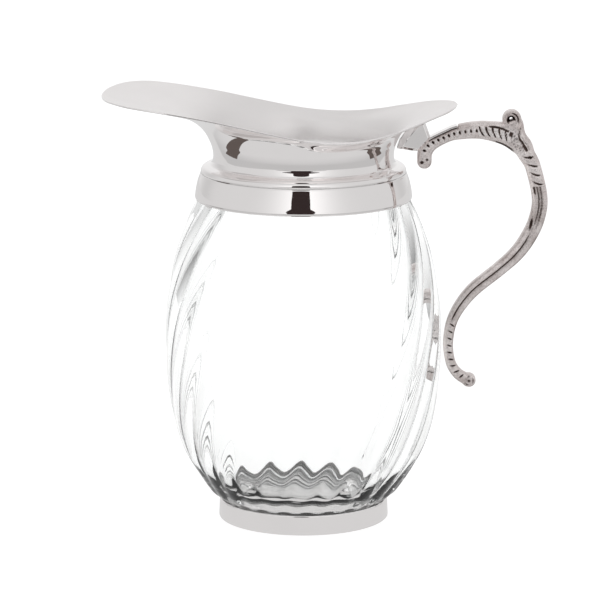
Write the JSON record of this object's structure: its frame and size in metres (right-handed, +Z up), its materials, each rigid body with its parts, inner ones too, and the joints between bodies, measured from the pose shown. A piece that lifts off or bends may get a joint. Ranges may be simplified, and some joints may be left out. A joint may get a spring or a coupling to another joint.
{
  "type": "glass water pitcher with silver-plated mounts",
  "caption": "Water pitcher: swirl-ribbed clear glass body with a plated foot cup, collar and long oval mouth, and a cast scroll handle held by a lug under the lip.",
  "frame": {"origin": "middle of the flat underside of the foot cup, on the axis of the body", "axes": "+Z up through the mouth, -X towards the tip of the spout, +X towards the handle, +Y across the pitcher"},
  "size_m": [0.2246, 0.1396, 0.2184],
  "materials": {
    "plated_silver": "mirror-polished silver plate on spun brass",
    "cast_silver": "satin cast and plated, with darkened recesses",
    "clear_glass": "clear, fire-polished, moulded swirl ribs",
    "cement": "pale bedding cement"
  },
  "bodies": {
    "root": {"foot_cup": "plated_silver", "foot_cement": "cement", "glass_body": "clear_glass", "collar_band": "plated_silver", "collar_cement": "cement", "flared_mouth": "plated_silver", "handle_lug": "plated_silver", "scroll_handle": "cast_silver"}
  },
  "joints": []
}
